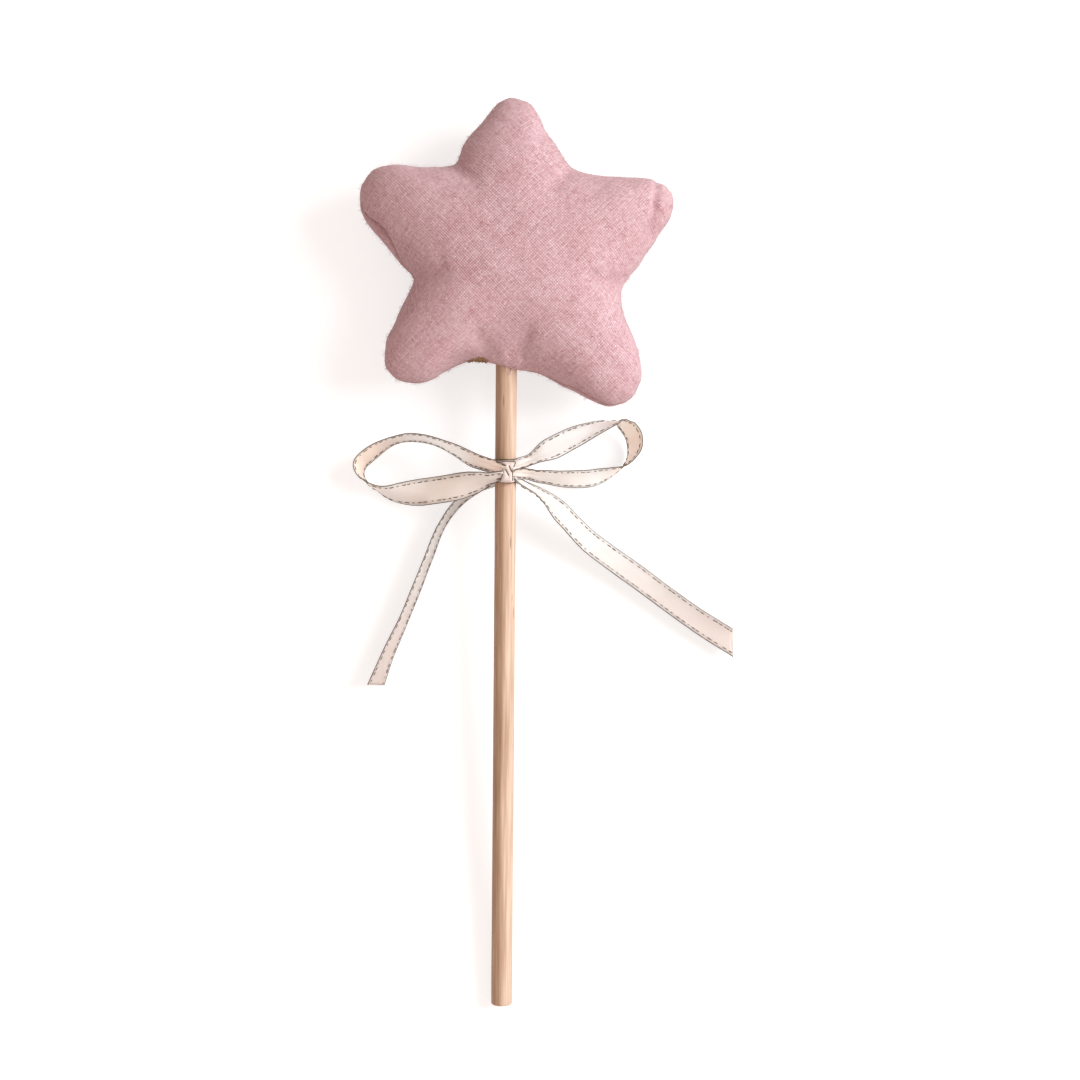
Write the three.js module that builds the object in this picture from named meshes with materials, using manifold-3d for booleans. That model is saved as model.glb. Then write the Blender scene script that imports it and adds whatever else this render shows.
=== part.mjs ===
// Star wand rattle: a stuffed fabric star on a wooden dowel, with a rattle capsule inside and a ribbon bow.
// Millimetres. The wand lies on its back on a table at z = 0, with the star level and +Y up the dowel.
// The origin is under the star, on the table, and +Z points out of the star's front.
import * as THREE from "three";
import { mergeVertices } from "three/addons/utils/BufferGeometryUtils.js";
import Module from "manifold-3d";

const wasm = await Module();
wasm.setup();

// Gap between two pieces that touch
const fitGap = 0.3;

// Star: corners of the sewn outline, anticlockwise from the top, each with the radius that rounds it
const starCorners = [
  { at: [1.4, 67.2], round: 11.4, tip: true },
  { at: [-22.1, 31.5], round: 5, tip: false },
  { at: [-67.6, 31.8], round: 12, tip: true },
  { at: [-35.4, -13.2], round: 3, tip: false },
  { at: [-59.1, -63.9], round: 12.1, tip: true },
  { at: [-4.4, -38.2], round: 30, tip: false },
  { at: [58.4, -69.7], round: 11.5, tip: true },
  { at: [42.3, -16.9], round: 5, tip: false },
  { at: [69.9, 25.3], round: 9.4, tip: true },
  { at: [24.7, 29.8], round: 5, tip: false },
];
const starCrown = new THREE.Vector2(3, -2);
const starThickness = 44;
const crownPower = 2.3;
const restDepth = 0.5;
const fabricThickness = 1;
const seamAllowance = 5;

// Threads
const seamThreadThickness = 0.4;
const seamThreadWidth = 0.8;
const stitchThickness = 0.7;
const stitchCount = 5;
const stitchSpacing = 1.5;
const stitchReach = 1.8;
const stitchStart = 2;

// Dowel
const dowelDiameter = 8;
const dowelLength = 278;
const dowelInsertion = 32;
const dowelChamfer = 0.5;
const glueStart = 9;
const glueLength = 10;
const glueThickness = 1.2;

// Rattle capsule and its pellets
const capsuleDiameter = 28;
const capsuleHeight = 18;
const capsuleWall = 1.8;
const capsuleLap = 3;
const capsuleRound = 3;
const pelletDiameter = 5;
const pelletSpacing = 2;
const pelletWallGap = 2.1;

// Ribbon
const ribbonWidth = 10;
const ribbonThickness = 0.5;
const bowDistance = 40.7;
const wrapLength = 8.4;
const wrapThickness = 0.8;
const knotWidth = 8.4;
const knotLength = 8.8;
const knotHeight = 2.6;
const knotEdge = 1.4;
const gatheredShare = 0.6;
const pinchedShare = 0.35;
const gatherRows = 2;

// Ribbon routes: x, y, z of the ribbon's middle line, then the direction across the ribbon
const leftLoopRoute = [
  [-5.6, -81.4, 24.4, 0.06, 0.81, 0.58],
  [-12.2, -79.1, 22.6, 0.07, 0.64, 0.76],
  [-20.5, -74.8, 19.2, -0.12, 0.43, 0.89],
  [-28.8, -71.5, 15.8, -0.15, 0.32, 0.93],
  [-36.6, -70.5, 12.8, -0.15, 0.25, 0.96],
  [-45.0, -72.2, 10.0, -0.35, 0.15, 0.93],
  [-52.2, -76.6, 8.0, -0.39, 0.26, 0.88],
  [-55.8, -80.4, 6.6, -0.39, 0.27, 0.88],
  [-56.0, -84.2, 5.9, -0.27, 0.17, 0.95],
  [-53.9, -87.4, 5.6, -0.08, 0.06, 1.0],
  [-49.8, -90.0, 5.6, 0.11, 0.12, 0.99],
  [-44.4, -91.9, 6.2, 0.19, 0.48, 0.86],
  [-37.2, -91.9, 8.4, 0.07, 0.86, 0.5],
  [-29.0, -90.9, 11.6, -0.01, 1.0, 0.0],
  [-20.3, -89.6, 15.2, -0.2, 0.97, 0.14],
  [-12.5, -87.7, 18.4, -0.2, 0.78, 0.6],
  [-7.9, -86.4, 20.6, -0.15, 0.6, 0.79],
  [-5.8, -86.2, 21.8, -0.07, 0.6, 0.8],
];
const rightLoopRoute = [
  [5.7, -80.5, 24.4, 0.07, -0.66, 0.75],
  [10.0, -79.0, 23.2, 0.15, -0.49, 0.86],
  [17.6, -74.7, 20.6, 0.27, -0.77, 0.58],
  [26.2, -70.0, 17.2, 0.23, -0.74, 0.63],
  [34.2, -66.3, 13.8, 0.08, -0.51, 0.85],
  [40.2, -64.1, 10.8, -0.04, -0.27, 0.96],
  [43.7, -63.3, 8.8, 0.11, 0.06, 0.99],
  [46.0, -65.1, 7.4, 0.42, 0.33, 0.85],
  [48.6, -68.8, 6.4, 0.54, 0.29, 0.79],
  [49.1, -73.1, 5.9, 0.54, 0.24, 0.81],
  [47.9, -77.0, 5.9, 0.38, 0.16, 0.91],
  [45.6, -80.2, 6.2, 0.08, 0.02, 1.0],
  [40.1, -83.1, 7.4, -0.19, 0.27, 0.94],
  [33.1, -85.2, 9.4, -0.2, 0.55, 0.81],
  [24.8, -85.7, 12.4, -0.08, 0.57, 0.82],
  [16.1, -85.1, 16.2, 0.0, 0.41, 0.91],
  [10.6, -84.5, 19.6, 0.0, 0.4, 0.92],
  [6.4, -84.2, 22.0, 0.0, 0.6, 0.8],
];
const leftTailRoute = [
  [-4.9, -88.4, 14.6, -0.5, -0.2, 0.84],
  [-11.6, -90.9, 9.6, -0.45, -0.1, 0.88],
  [-18.2, -95.0, 6.6, -0.3, 0.05, 0.95],
  [-24.9, -104.2, 5.4, -0.23, 0.11, 0.97],
  [-29.7, -116.2, 5.2, -0.25, 0.09, 0.96],
  [-34.7, -129.3, 5.2, -0.27, 0.09, 0.96],
  [-39.2, -140.5, 5.1, -0.31, 0.13, 0.94],
  [-44.9, -153.3, 4.9, -0.39, 0.17, 0.91],
  [-49.6, -165.5, 4.7, -0.5, 0.17, 0.85],
];
const rightTailRoute = [
  [5.8, -87.4, 19.6, 0.03, -0.58, 0.81],
  [12.6, -91.2, 16.6, 0.03, -0.58, 0.81],
  [21.1, -98.7, 12.2, -0.35, -0.69, 0.63],
  [31.2, -108.9, 7.6, -0.41, -0.72, 0.56],
  [40.1, -115.6, 5.0, -0.48, -0.69, 0.54],
  [51.4, -123.5, 3.6, -0.5, -0.7, 0.52],
  [61.8, -131.1, 3.1, -0.5, -0.7, 0.52],
  [74.1, -139.7, 3.1, -0.46, -0.74, 0.5],
  [88.0, -148.3, 3.1, -0.46, -0.78, 0.44],
];

// Facets
const tipSteps = 6;
const notchSteps = 2;
const sideSteps = 3;
const crownSteps = 6;
const roundSides = 24;
const edgeSteps = 3;
const pelletSides = 12;
const pelletRows = 8;
const yarnSides = 6;
const stitchSteps = 8;
const loopSteps = 51;
const tailSteps = 32;

// Derived sizes
const starHalf = starThickness / 2;
const starLevel = starHalf - restDepth;
const seamHalf = seamThreadThickness / 2 + fitGap;
const dowelRadius = dowelDiameter / 2;
const capsuleRadius = capsuleDiameter / 2;
const capsuleHalf = capsuleHeight / 2;
const pelletRadius = pelletDiameter / 2;
const pelletRing = capsuleRadius - capsuleWall - pelletWallGap - pelletRadius;
const pelletCount = Math.floor(Math.PI / Math.asin((pelletDiameter + pelletSpacing) / (2 * pelletRing)));
const neckHalf = dowelRadius + fitGap;
const wrapRadius = neckHalf + wrapThickness;
const glueRadius = neckHalf + glueThickness;

// A closed mesh becomes a solid for cutting, and a solid becomes a mesh again
function solidOf(geometry) {
  const bare = geometry.clone();
  bare.deleteAttribute("normal");
  bare.deleteAttribute("uv");
  const merged = mergeVertices(bare, 1e-4);
  const triangles = [];
  for (let i = 0; i < merged.index.count; i += 3) {
    const corners = [0, 1, 2].map((k) => merged.index.getX(i + k));
    if (new Set(corners).size === 3) {
      triangles.push(...corners);
    }
  }
  const vertProperties = new Float32Array(merged.attributes.position.array);
  const triVerts = new Uint32Array(triangles);
  return new wasm.Manifold(new wasm.Mesh({ numProp: 3, vertProperties, triVerts }));
}

function geometryOf(solid) {
  const mesh = solid.getMesh();
  const geometry = new THREE.BufferGeometry();
  geometry.setAttribute("position", new THREE.BufferAttribute(new Float32Array(mesh.vertProperties), 3));
  geometry.setIndex(new THREE.BufferAttribute(new Uint32Array(mesh.triVerts), 1));
  return geometry;
}

function cut(geometry, ...tools) {
  return geometryOf(tools.reduce((solid, tool) => solid.subtract(solidOf(tool)), solidOf(geometry)));
}

// Skin over a row of rings of points. A ring of one point closes an end, and closed joins last to first.
function loft(rings, closed = false) {
  const points = rings.flat();
  const starts = [];
  let count = 0;
  for (const ring of rings) {
    starts.push(count);
    count += ring.length;
  }
  const triangles = [];
  const bands = closed ? rings.length : rings.length - 1;
  for (let i = 0; i < bands; i += 1) {
    const next = (i + 1) % rings.length;
    const sides = Math.max(rings[i].length, rings[next].length);
    for (let j = 0; j < sides; j += 1) {
      const k = (j + 1) % sides;
      const near = (index) => starts[i] + (rings[i].length === 1 ? 0 : index);
      const far = (index) => starts[next] + (rings[next].length === 1 ? 0 : index);
      if (rings[next].length > 1) {
        triangles.push(near(j), far(j), far(k));
      }
      if (rings[i].length > 1) {
        triangles.push(near(j), far(k), near(k));
      }
    }
  }
  const geometry = new THREE.BufferGeometry().setFromPoints(points);
  geometry.setIndex(triangles);
  return geometry;
}

// The same skin seen in a mirror at z = 0, with its faces still pointing out
function mirrored(geometry) {
  const flipped = geometry.clone().scale(1, 1, -1);
  const index = flipped.index.array;
  for (let i = 0; i < index.length; i += 3) {
    [index[i + 1], index[i + 2]] = [index[i + 2], index[i + 1]];
  }
  return flipped;
}

// Arcs that round the star's corners. An inset outline keeps their centres and changes their radii.
const starArcs = starCorners.map((corner, i) => {
  const count = starCorners.length;
  const at = new THREE.Vector2(...corner.at);
  const back = new THREE.Vector2(...starCorners[(i + count - 1) % count].at).sub(at).normalize();
  const ahead = new THREE.Vector2(...starCorners[(i + 1) % count].at).sub(at).normalize();
  const halfAngle = Math.acos(back.dot(ahead)) / 2;
  const middle = back.clone().add(ahead).normalize();
  const centre = at.clone().addScaledVector(middle, corner.round / Math.sin(halfAngle));
  const towardCorner = at.clone().sub(centre).angle();
  const turn = (Math.PI / 2 - halfAngle) * (corner.tip ? 1 : -1);
  const steps = corner.tip ? tipSteps : notchSteps;
  return { ...corner, centre, from: towardCorner - turn, sweep: 2 * turn, steps };
});

function starOutline(inset) {
  const arcs = starArcs.map((arc) => {
    const radius = arc.round + (arc.tip ? -inset : inset);
    return Array.from({ length: arc.steps + 1 }, (_, k) => {
      const angle = arc.from + (arc.sweep * k) / arc.steps;
      return new THREE.Vector2(radius * Math.cos(angle), radius * Math.sin(angle)).add(arc.centre);
    });
  });
  return arcs.flatMap((points, i) => {
    const from = points.at(-1);
    const to = arcs[(i + 1) % arcs.length][0];
    const side = Array.from({ length: sideSteps - 1 }, (_, k) => from.clone().lerp(to, (k + 1) / sideSteps));
    return [...points, ...side];
  });
}

function flatRing(outline, z) {
  return outline.map((point) => new THREE.Vector3(point.x, point.y, z));
}

// Rings of a puffed skin from its crown, where they are round, out to its edge, where they are the star
function crownRings(outline, edgeHeight, crownHeight) {
  const rings = [[new THREE.Vector3(starCrown.x, starCrown.y, crownHeight)]];
  const roundReach = Math.min(...outline.map((point) => point.distanceTo(starCrown)));
  for (let k = 1; k <= crownSteps; k += 1) {
    const angle = (Math.PI / 2) * (k / crownSteps);
    const share = Math.sin(angle) ** (2 / crownPower);
    const rise = k === crownSteps ? 0 : Math.cos(angle) ** (2 / crownPower);
    const ring = outline.map((point) => {
      const out = point.clone().sub(starCrown);
      const reach = THREE.MathUtils.lerp(roundReach, out.length(), share);
      return starCrown.clone().addScaledVector(out.normalize(), share * reach);
    });
    rings.push(flatRing(ring, edgeHeight + (crownHeight - edgeHeight) * rise));
  }
  return rings;
}

// Fabric panel: the puffed skin, with its seam allowance turned in along the seam
function panelGeometry() {
  const allowanceTop = seamHalf + fabricThickness;
  const allowanceEdge = starOutline(fabricThickness + seamAllowance);
  const outside = crownRings(starOutline(0), seamHalf, starHalf);
  const inside = crownRings(starOutline(fabricThickness), allowanceTop, starHalf - fabricThickness);
  const allowance = [flatRing(allowanceEdge, seamHalf), flatRing(allowanceEdge, allowanceTop)];
  return loft([...outside, ...allowance, ...inside.reverse()]);
}

// Half of the stuffing, flat where it meets the other half
function stuffingGeometry() {
  const outline = starOutline(fabricThickness + seamAllowance + fitGap);
  const rings = crownRings(outline, fitGap / 2, starHalf - fabricThickness - fitGap);
  return loft([...rings, [new THREE.Vector3(starCrown.x, starCrown.y, fitGap / 2)]]);
}

function seamThreadGeometry() {
  const outer = starOutline(fitGap);
  const inner = starOutline(fitGap + seamThreadWidth);
  const half = seamThreadThickness / 2;
  const top = [flatRing(inner, half), flatRing(outer, half)];
  const bottom = [flatRing(outer, -half), flatRing(inner, -half)];
  return loft([...top, ...bottom], true);
}

// Height in Y of the seam's lower edge at a given x
function lowerSeam(x, inset) {
  const outline = starOutline(inset);
  const heights = outline.flatMap((from, i) => {
    const to = outline[(i + 1) % outline.length];
    const share = (x - from.x) / (to.x - from.x);
    return share >= 0 && share <= 1 ? [THREE.MathUtils.lerp(from.y, to.y, share)] : [];
  });
  return Math.min(...heights);
}

// Where the dowel's axis crosses the seam
const neckY = lowerSeam(0, 0);

// The dowel leans so that the rim of its lower end touches the table
const dowelBelow = dowelLength - dowelInsertion;
const rimReach = dowelBelow - dowelChamfer;
const lean = Math.asin(starLevel / Math.hypot(rimReach, dowelRadius)) - Math.atan2(dowelRadius, rimReach);
const dowelPlace = new THREE.Matrix4().makeRotationX(lean).setPosition(0, neckY, 0);

function turned(profile, sides = roundSides) {
  return new THREE.LatheGeometry(profile.map(([radius, y]) => new THREE.Vector2(radius, y)), sides);
}

function dowelGeometry() {
  return turned([
    [0, -dowelBelow],
    [dowelRadius - dowelChamfer, -dowelBelow],
    [dowelRadius, dowelChamfer - dowelBelow],
    [dowelRadius, dowelInsertion - dowelChamfer],
    [dowelRadius - dowelChamfer, dowelInsertion],
    [0, dowelInsertion],
  ]);
}

function tubeGeometry(inner, outer, from, to) {
  return turned([[inner, from], [outer, from], [outer, to], [inner, to], [inner, from]]);
}

function rodGeometry(radius, from, to) {
  return turned([[0, from], [radius, from], [radius, to], [0, to]]);
}

// Hole for the dowel and its glue, from well outside the star to just past the dowel's inner end
const dowelHole = rodGeometry(neckHalf, -dowelBelow, dowelInsertion + fitGap).applyMatrix4(dowelPlace);
const glueHole = rodGeometry(glueRadius + fitGap, glueStart - fitGap, glueStart + glueLength + fitGap)
  .applyMatrix4(dowelPlace);

// The capsule lies just past the dowel's inner end, with its axis across the star
const dowelTip = new THREE.Vector3(0, dowelInsertion, -dowelRadius).applyMatrix4(dowelPlace);
const capsuleY = dowelTip.y + fitGap + capsuleRadius;
const acrossStar = new THREE.Matrix4().makeRotationX(Math.PI / 2).setPosition(0, capsuleY, 0);
const capsuleHole = rodGeometry(capsuleRadius + fitGap, -capsuleHalf - fitGap, capsuleHalf + fitGap)
  .applyMatrix4(acrossStar);

// Quarter turn of a rounded edge, from its upright side to its flat side
function roundedEdge(radius, height, round) {
  return Array.from({ length: edgeSteps + 1 }, (_, k) => {
    const angle = (Math.PI / 2) * (k / edgeSteps);
    return [radius - round + round * Math.cos(angle), height - round + round * Math.sin(angle)];
  });
}

// Capsule half as a cup that opens downward. The socket half takes the spigot half's lip inside its wall.
function capsuleGeometry(spigot) {
  const innerRadius = capsuleRadius - capsuleWall;
  const outside = roundedEdge(capsuleRadius, capsuleHalf, capsuleRound);
  const innerRound = Math.max(capsuleRound - capsuleWall, fitGap);
  const inside = roundedEdge(innerRadius, capsuleHalf - capsuleWall, innerRound).reverse();
  const lapRadius = innerRadius + capsuleWall / 2;
  const rim = spigot
    ? [
        [innerRadius, -capsuleLap / 2],
        [lapRadius - fitGap / 2, -capsuleLap / 2],
        [lapRadius - fitGap / 2, capsuleLap / 2],
        [capsuleRadius, capsuleLap / 2],
      ]
    : [
        [innerRadius, capsuleLap / 2 + fitGap],
        [lapRadius + fitGap / 2, capsuleLap / 2 + fitGap],
        [lapRadius + fitGap / 2, fitGap - capsuleLap / 2],
        [capsuleRadius, fitGap - capsuleLap / 2],
      ];
  return turned([[0, capsuleHalf - capsuleWall], ...inside, ...rim, ...outside, [0, capsuleHalf]]);
}

// Whip stitches that cross the seam from front to back, left of the dowel
function stitchGeometry() {
  const offSeam = -stitchThickness / 2 - fitGap;
  const yarn = Array.from({ length: 2 * stitchCount + 1 }, (_, k) => {
    const x = -neckHalf - stitchStart - (k * stitchSpacing) / 2;
    return new THREE.Vector3(x, lowerSeam(x, offSeam), k % 2 === 0 ? stitchReach : -stitchReach);
  });
  const section = new THREE.Shape().absarc(0, 0, stitchThickness / 2, 0, 2 * Math.PI);
  return new THREE.ExtrudeGeometry(section, {
    steps: stitchSteps * stitchCount,
    curveSegments: yarnSides / 2,
    bevelEnabled: false,
    extrudePath: new THREE.CatmullRomCurve3(yarn),
  });
}

// Flat ribbon along a route, drawn narrower towards each end that goes into the knot
function ribbonGeometry(route, steps, gatheredEnds, endShare) {
  const points = route.map(([x, y, z]) => new THREE.Vector3(x, y, z));
  const middle = new THREE.CatmullRomCurve3(points, false, "centripetal");
  const across = new THREE.CatmullRomCurve3(route.map((row) => new THREE.Vector3(...row.slice(3))));
  const sections = Array.from({ length: steps + 1 }, (_, k) => {
    const u = k / steps;
    const rowsIn = u * (route.length - 1);
    const rowsLeft = (1 - u) * (route.length - 1);
    const rows = gatheredEnds === 2 ? Math.min(rowsIn, rowsLeft) : rowsIn;
    const share = THREE.MathUtils.lerp(endShare, 1, THREE.MathUtils.smoothstep(rows, 0, gatherRows));
    const centre = middle.getPoint(u);
    const along = middle.getTangent(u);
    const side = across.getPoint(u);
    side.addScaledVector(along, -side.dot(along)).setLength((ribbonWidth / 2) * share);
    const face = along.clone().cross(side).setLength(ribbonThickness / 2);
    const corner = (s, f) => centre.clone().addScaledVector(side, s).addScaledVector(face, f);
    return { centre, ring: [corner(1, 1), corner(1, -1), corner(-1, -1), corner(-1, 1)] };
  });
  return loft([[sections[0].centre], ...sections.map((section) => section.ring), [sections.at(-1).centre]]);
}

// Knot: the short stretch of ribbon drawn over the front of the wrap, thickest in the middle
function knotGeometry() {
  const inner = wrapRadius + fitGap;
  const half = knotLength / 2;
  const edge = inner + knotEdge;
  const band = turned([
    [inner, -half],
    [edge, -half],
    [inner + knotHeight, 0],
    [edge, half],
    [inner, half],
    [inner, -half],
  ]);
  const front = new THREE.BoxGeometry(knotWidth, 2 * knotLength, 2 * wrapRadius + knotHeight);
  front.translate(0, 0, wrapRadius + knotHeight / 2);
  return geometryOf(solidOf(band).intersect(solidOf(front)));
}

function paint(color, roughness, metalness = 0) {
  return new THREE.MeshStandardMaterial({ color, roughness, metalness });
}

const pinkFabric = paint(0xd7a39c, 0.95);
const pinkThread = paint(0xc98f88, 0.9);
const tanThread = paint(0xa9805f, 0.9);
const fibre = paint(0xf4f1ea, 1);
const beech = paint(0xe6c3a4, 0.6);
const glue = paint(0xe9dcb8, 0.35);
const whitePlastic = paint(0xf2f2ee, 0.4);
const steel = paint(0xb9bcc0, 0.3, 1);
const satin = paint(0xf3e4df, 0.5);

function piece(name, geometry, material) {
  const mesh = new THREE.Mesh(geometry, material);
  mesh.name = name;
  return mesh;
}

// Dowel group: the dowel, its glue and what is tied round it, along the dowel's own axis
function dowelGroup() {
  const group = new THREE.Group();
  group.applyMatrix4(dowelPlace);
  group.add(piece("dowel", dowelGeometry(), beech));
  const collar = tubeGeometry(neckHalf, glueRadius, glueStart, glueStart + glueLength);
  group.add(piece("glue_collar", collar, glue));
  const sleeve = tubeGeometry(neckHalf, wrapRadius, -wrapLength / 2, wrapLength / 2);
  const wrap = piece("ribbon_wrap", sleeve, satin);
  const knot = piece("bow_knot", knotGeometry(), satin);
  for (const tied of [wrap, knot]) {
    tied.position.y = -bowDistance;
    group.add(tied);
  }
  return group;
}

// Capsule group: two halves that snap together and the pellets on the floor of the lower one
function capsuleGroup() {
  const group = new THREE.Group();
  group.applyMatrix4(acrossStar);
  group.add(piece("capsule_front", capsuleGeometry(true), whitePlastic));
  const back = piece("capsule_back", capsuleGeometry(false), whitePlastic);
  back.rotation.x = Math.PI;
  group.add(back);
  for (let k = 0; k < pelletCount; k += 1) {
    const angle = (2 * Math.PI * k) / pelletCount;
    const ball = new THREE.SphereGeometry(pelletRadius, pelletSides, pelletRows);
    const pellet = piece(`pellet_${k + 1}`, ball, steel);
    const level = capsuleWall - capsuleHalf + fitGap + pelletRadius;
    pellet.position.set(pelletRing * Math.cos(angle), level, pelletRing * Math.sin(angle));
    group.add(pellet);
  }
  return group;
}

// Star group: everything that is level with the star's seam
function starGroup() {
  const group = new THREE.Group();
  group.position.z = starLevel;
  const starReach = Math.max(...starOutline(0).map((point) => point.length()));
  const table = new THREE.BoxGeometry(2 * starReach, 2 * starReach, starThickness);
  table.translate(0, 0, -starLevel - starThickness / 2);
  const panel = panelGeometry();
  const stuffing = stuffingGeometry();
  const holes = [dowelHole, capsuleHole, glueHole];
  group.add(piece("star_front_panel", cut(panel, dowelHole), pinkFabric));
  group.add(piece("star_back_panel", cut(mirrored(panel), dowelHole, table), pinkFabric));
  group.add(piece("stuffing_front", cut(stuffing, ...holes), fibre));
  group.add(piece("stuffing_back", cut(mirrored(stuffing), ...holes), fibre));
  group.add(piece("seam_thread", cut(seamThreadGeometry(), dowelHole), pinkThread));
  group.add(piece("closing_stitches", stitchGeometry(), tanThread));
  group.add(capsuleGroup());
  group.add(dowelGroup());
  return group;
}

const wand = new THREE.Group();
wand.add(starGroup());
wand.add(piece("bow_loop_left", ribbonGeometry(leftLoopRoute, loopSteps, 2, gatheredShare), satin));
wand.add(piece("bow_loop_right", ribbonGeometry(rightLoopRoute, loopSteps, 2, gatheredShare), satin));
wand.add(piece("ribbon_tail_left", ribbonGeometry(leftTailRoute, tailSteps, 1, gatheredShare), satin));
wand.add(piece("ribbon_tail_right", ribbonGeometry(rightTailRoute, tailSteps, 1, pinchedShare), satin));

export default wand;
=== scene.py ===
# Star wand rattle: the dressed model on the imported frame
import math

import bmesh
import bpy
import numpy as np
from mathutils import Matrix, Vector
from mathutils.bvhtree import BVHTree
from mathutils.noise import noise


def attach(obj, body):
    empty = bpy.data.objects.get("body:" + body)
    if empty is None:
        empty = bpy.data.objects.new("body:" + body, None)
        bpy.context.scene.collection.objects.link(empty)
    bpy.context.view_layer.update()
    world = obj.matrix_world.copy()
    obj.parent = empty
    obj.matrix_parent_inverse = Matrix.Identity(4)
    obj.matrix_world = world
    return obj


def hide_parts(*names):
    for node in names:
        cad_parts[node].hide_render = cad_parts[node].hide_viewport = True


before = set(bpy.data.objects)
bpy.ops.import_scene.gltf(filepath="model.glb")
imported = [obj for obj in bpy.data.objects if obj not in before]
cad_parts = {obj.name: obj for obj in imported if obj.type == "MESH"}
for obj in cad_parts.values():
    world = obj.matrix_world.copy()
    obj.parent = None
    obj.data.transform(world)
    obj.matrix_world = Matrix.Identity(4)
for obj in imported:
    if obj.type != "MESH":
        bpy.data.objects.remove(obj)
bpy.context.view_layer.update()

MM = 0.001

# Sizes of the CAD model, in millimetres and radians.
# A corner of the star has its place, its radius and whether it is a tip.
FIT_GAP = 0.3
STAR_LEVEL = 21.5
STAR_HALF = 22.0
STAR_CROWN = (3.0, -2.0)
CROWN_POWER = 2.3
STAR_CORNERS = [
    (1.4, 67.2, 11.4, True),
    (-22.1, 31.5, 5, False),
    (-67.6, 31.8, 12, True),
    (-35.4, -13.2, 3, False),
    (-59.1, -63.9, 12.1, True),
    (-4.4, -38.2, 30, False),
    (58.4, -69.7, 11.5, True),
    (42.3, -16.9, 5, False),
    (69.9, 25.3, 9.4, True),
    (24.7, 29.8, 5, False),
]
NECK_Y = -42.632
LEAN = 0.071385
DOWEL_RADIUS = 4.0
DOWEL_BELOW = 246.0
DOWEL_INSERTION = 32.0
BOW_DISTANCE = 40.7
WRAP_LENGTH = 8.4
WRAP_THICKNESS = 0.8
KNOT_WIDTH = 8.4
KNOT_LENGTH = 8.8
KNOT_HEIGHT = 2.6
RIBBON_WIDTH = 10.0
GATHERED_SHARE = 0.6
PINCHED_SHARE = 0.35
GATHER_ROWS = 2

# Ribbon routes of the CAD model: x, y, z of the middle line, then the direction across the ribbon
LEFT_LOOP = [
    (-5.6, -81.4, 24.4, 0.06, 0.81, 0.58),
    (-12.2, -79.1, 22.6, 0.07, 0.64, 0.76),
    (-20.5, -74.8, 19.2, -0.12, 0.43, 0.89),
    (-28.8, -71.5, 15.8, -0.15, 0.32, 0.93),
    (-36.6, -70.5, 12.8, -0.15, 0.25, 0.96),
    (-45.0, -72.2, 10.0, -0.35, 0.15, 0.93),
    (-52.2, -76.6, 8.0, -0.39, 0.26, 0.88),
    (-55.8, -80.4, 6.6, -0.39, 0.27, 0.88),
    (-56.0, -84.2, 5.9, -0.27, 0.17, 0.95),
    (-53.9, -87.4, 5.6, -0.08, 0.06, 1.0),
    (-49.8, -90.0, 5.6, 0.11, 0.12, 0.99),
    (-44.4, -91.9, 6.2, 0.19, 0.48, 0.86),
    (-37.2, -91.9, 8.4, 0.07, 0.86, 0.5),
    (-29.0, -90.9, 11.6, -0.01, 1.0, 0.0),
    (-20.3, -89.6, 15.2, -0.2, 0.97, 0.14),
    (-12.5, -87.7, 18.4, -0.2, 0.78, 0.6),
    (-7.9, -86.4, 20.6, -0.15, 0.6, 0.79),
    (-5.8, -86.2, 21.8, -0.07, 0.6, 0.8),
]
RIGHT_LOOP = [
    (5.7, -80.5, 24.4, 0.07, -0.66, 0.75),
    (10.0, -79.0, 23.2, 0.15, -0.49, 0.86),
    (17.6, -74.7, 20.6, 0.27, -0.77, 0.58),
    (26.2, -70.0, 17.2, 0.23, -0.74, 0.63),
    (34.2, -66.3, 13.8, 0.08, -0.51, 0.85),
    (40.2, -64.1, 10.8, -0.04, -0.27, 0.96),
    (43.7, -63.3, 8.8, 0.11, 0.06, 0.99),
    (46.0, -65.1, 7.4, 0.42, 0.33, 0.85),
    (48.6, -68.8, 6.4, 0.54, 0.29, 0.79),
    (49.1, -73.1, 5.9, 0.54, 0.24, 0.81),
    (47.9, -77.0, 5.9, 0.38, 0.16, 0.91),
    (45.6, -80.2, 6.2, 0.08, 0.02, 1.0),
    (40.1, -83.1, 7.4, -0.19, 0.27, 0.94),
    (33.1, -85.2, 9.4, -0.2, 0.55, 0.81),
    (24.8, -85.7, 12.4, -0.08, 0.57, 0.82),
    (16.1, -85.1, 16.2, 0.0, 0.41, 0.91),
    (10.6, -84.5, 19.6, 0.0, 0.4, 0.92),
    (6.4, -84.2, 22.0, 0.0, 0.6, 0.8),
]
LEFT_TAIL = [
    (-4.9, -88.4, 14.6, -0.5, -0.2, 0.84),
    (-11.6, -90.9, 9.6, -0.45, -0.1, 0.88),
    (-18.2, -95.0, 6.6, -0.3, 0.05, 0.95),
    (-24.9, -104.2, 5.4, -0.23, 0.11, 0.97),
    (-29.7, -116.2, 5.2, -0.25, 0.09, 0.96),
    (-34.7, -129.3, 5.2, -0.27, 0.09, 0.96),
    (-39.2, -140.5, 5.1, -0.31, 0.13, 0.94),
    (-44.9, -153.3, 4.9, -0.39, 0.17, 0.91),
    (-49.6, -165.5, 4.7, -0.5, 0.17, 0.85),
]
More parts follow.
